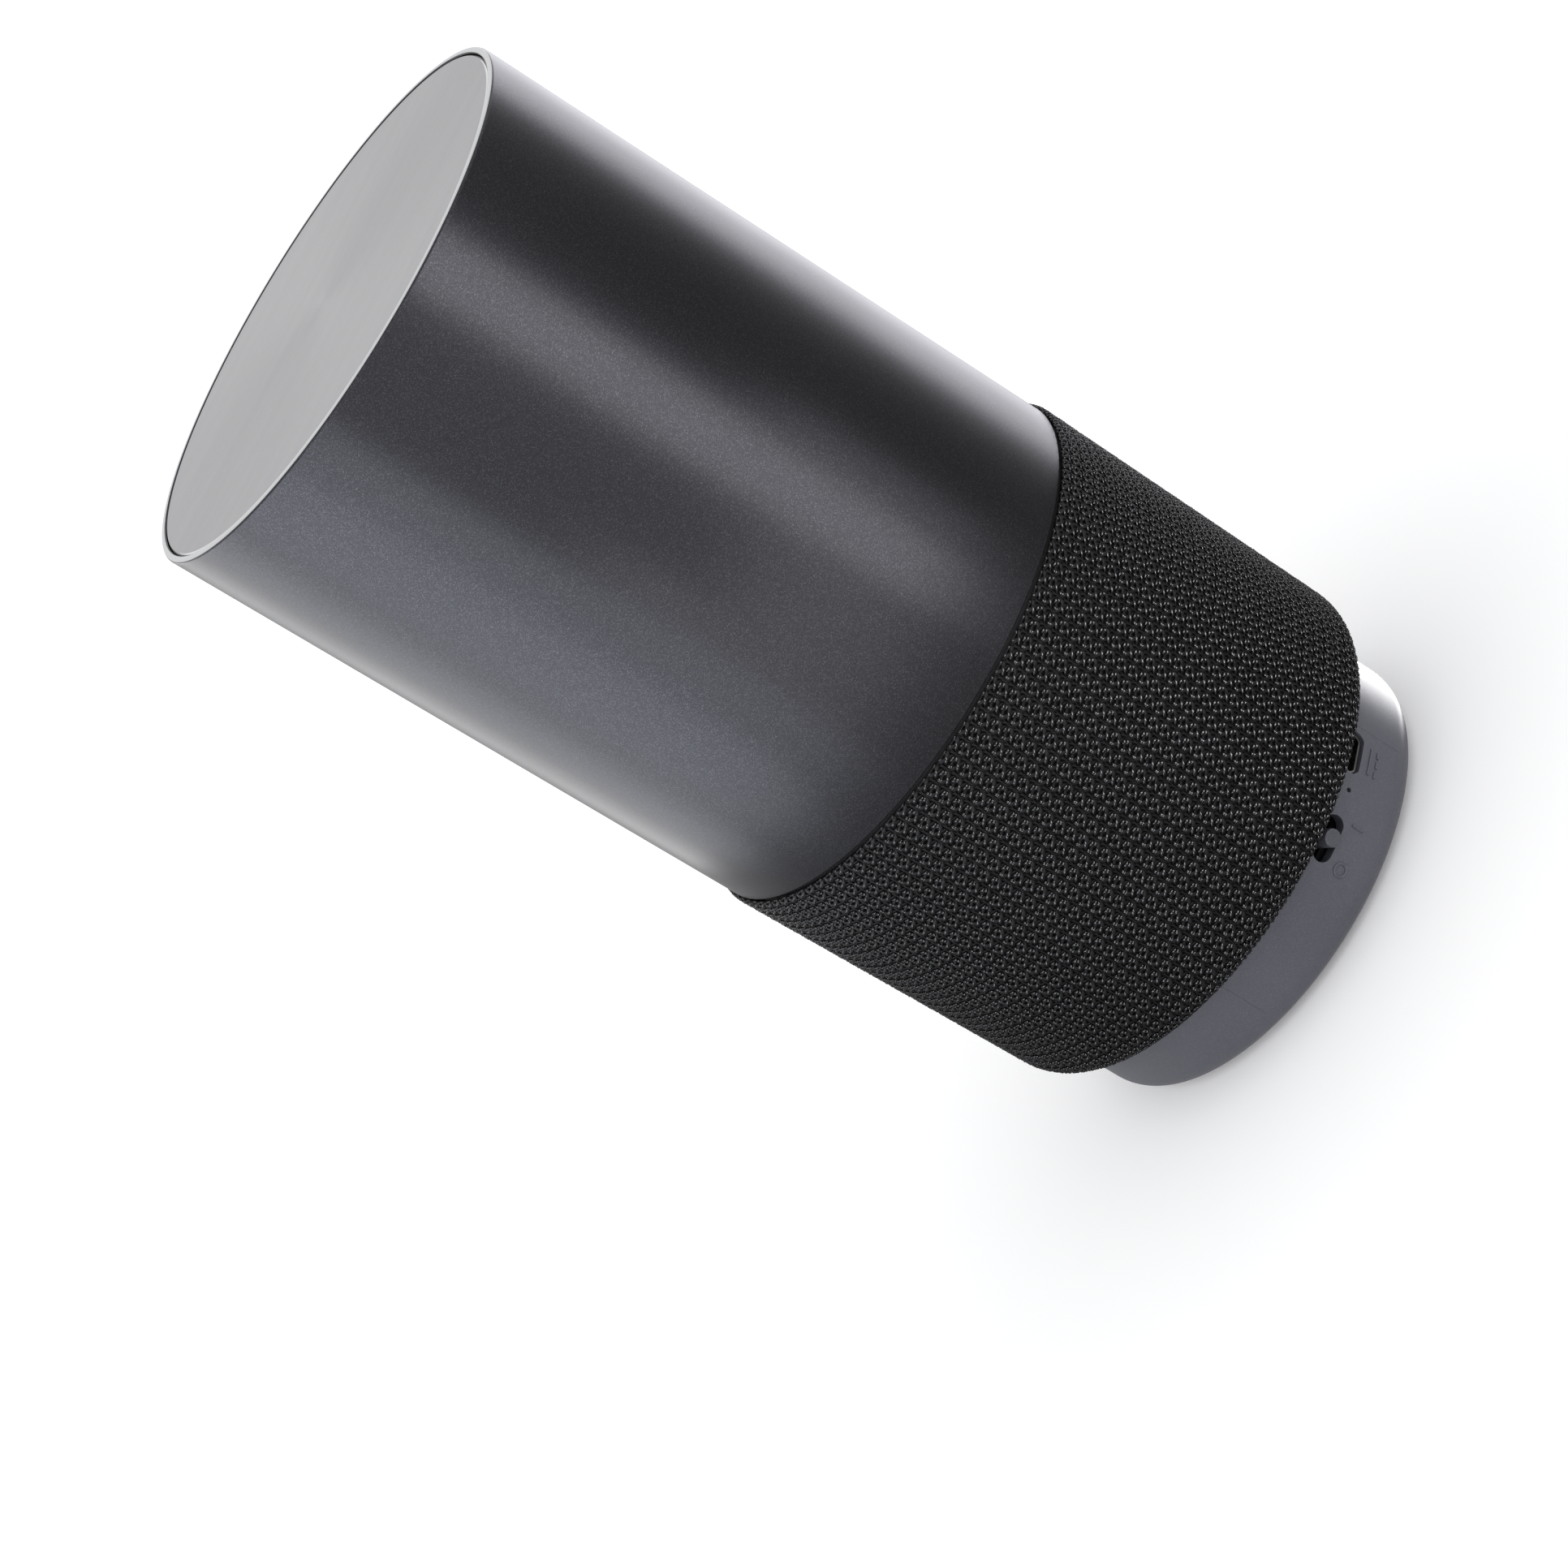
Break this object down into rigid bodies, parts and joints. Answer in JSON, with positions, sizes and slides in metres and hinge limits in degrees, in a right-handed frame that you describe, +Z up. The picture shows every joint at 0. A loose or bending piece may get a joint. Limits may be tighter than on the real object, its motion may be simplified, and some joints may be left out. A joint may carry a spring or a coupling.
{
  "type": "portable bluetooth speaker",
  "caption": "Upright cylindrical portable speaker: painted metal shell with a metal top disc, knitted mesh sleeve, moulded base with a slide switch and a charging port.",
  "frame": {"origin": "centre of the underside of the rubber foot, on the speaker's axis", "axes": "+Z up along the cylinder's axis towards the top disc; -Y towards the power switch"},
  "size_m": [0.0912, 0.0912, 0.1838],
  "materials": {
    "disc_metal": "satin, finely brushed",
    "shell_paint": "dark metallic grey, satin, fine sparkle",
    "knit": "black knitted mesh with glossy yarn",
    "base_plastic": "satin moulded grey with fine metallic speckle",
    "knob_plastic": "satin moulded grey with fine metallic speckle",
    "black_plastic": "fine moulded texture",
    "white_plastic": "natural nylon",
    "smoked_plastic": "smoked moulded light pipe",
    "screw_steel": "zinc plated",
    "can_steel": "tinned sheet",
    "basket_steel": "black lacquered pressing",
    "port_steel": "nickel plated",
    "contact_brass": "plated contacts",
    "ferrite": "ground ferrite",
    "copper_winding": "enamelled copper wire",
    "cone_paper": "black pressed paper",
    "surround_rubber": "soft matte",
    "foot_rubber": "matte, fine texture",
    "gasket_foam": "closed-cell foam",
    "spider_cloth": "resin-dipped cloth",
    "solder_mask": "black solder mask",
    "chip_epoxy": "moulded epoxy",
    "cell_wrap": "plastic-wrapped can",
    "red_lead": "smooth insulation",
    "grey_lead": "smooth insulation"
  },
  "bodies": {
    "speaker_body": {"top_disc": "disc_metal", "top_carrier": "black_plastic", "carrier_screw_1": "screw_steel", "carrier_screw_2": "screw_steel", "carrier_screw_3": "screw_steel", "upper_shell": "shell_paint", "junction_ring": "black_plastic", "fabric_sleeve": "knit", "grille_frame": "black_plastic", "frame_screw_1": "screw_steel", "frame_screw_2": "screw_steel", "frame_screw_3": "screw_steel", "frame_screw_4": "screw_steel", "base_housing": "base_plastic", "bottom_plate": "base_plastic", "bottom_screw_1": "screw_steel", "bottom_screw_2": "screw_steel", "bottom_screw_3": "screw_steel", "bottom_screw_4": "screw_steel", "rubber_foot": "foot_rubber", "main_board": "solder_mask", "board_screw_1": "screw_steel", "board_screw_2": "screw_steel", "board_screw_3": "screw_steel", "bluetooth_module": "can_steel", "amplifier_chip": "chip_epoxy", "filter_inductor_1": "chip_epoxy", "filter_inductor_2": "chip_epoxy", "smoothing_capacitor": "can_steel", "lead_socket": "white_plastic", "charge_led": "white_plastic", "light_pipe": "smoked_plastic", "micro_usb_shell": "port_steel", "micro_usb_tongue": "contact_brass", "slide_switch_body": "can_steel", "sound_deflector": "black_plastic", "speaker_chamber": "black_plastic", "driver_gasket": "gasket_foam", "driver_basket": "basket_steel", "driver_screw_1": "screw_steel", "driver_screw_2": "screw_steel", "driver_screw_3": "screw_steel", "driver_screw_4": "screw_steel", "driver_front_plate": "can_steel", "driver_magnet": "ferrite", "driver_yoke": "can_steel", "driver_terminal": "contact_brass", "cone_surround": "surround_rubber", "cone_spider": "spider_cloth", "battery_holder": "black_plastic", "battery_cell_1": "cell_wrap", "battery_cell_2": "cell_wrap", "battery_board": "solder_mask", "battery_lead": "red_lead", "speaker_lead": "grey_lead"},
    "power_switch": {"power_switch_knob": "knob_plastic", "slide_switch_lever": "black_plastic"},
    "moving_cone": {"speaker_cone": "cone_paper", "dust_cap": "cone_paper", "voice_coil": "copper_winding"}
  },
  "joints": [
    {"name": "power_switch_slide", "type": "slide", "parent": "speaker_body", "child": "power_switch", "axis": [1, 0, 0], "range_m": [-0.0022, 0.0022]},
    {"name": "cone_travel", "type": "slide", "parent": "speaker_body", "child": "moving_cone", "axis": [0, 0, 1], "range_m": [-0.0018, 0.0018], "stiffness_N_per_m": 1500, "deforming": ["cone_surround", "cone_spider"]}
  ]
}
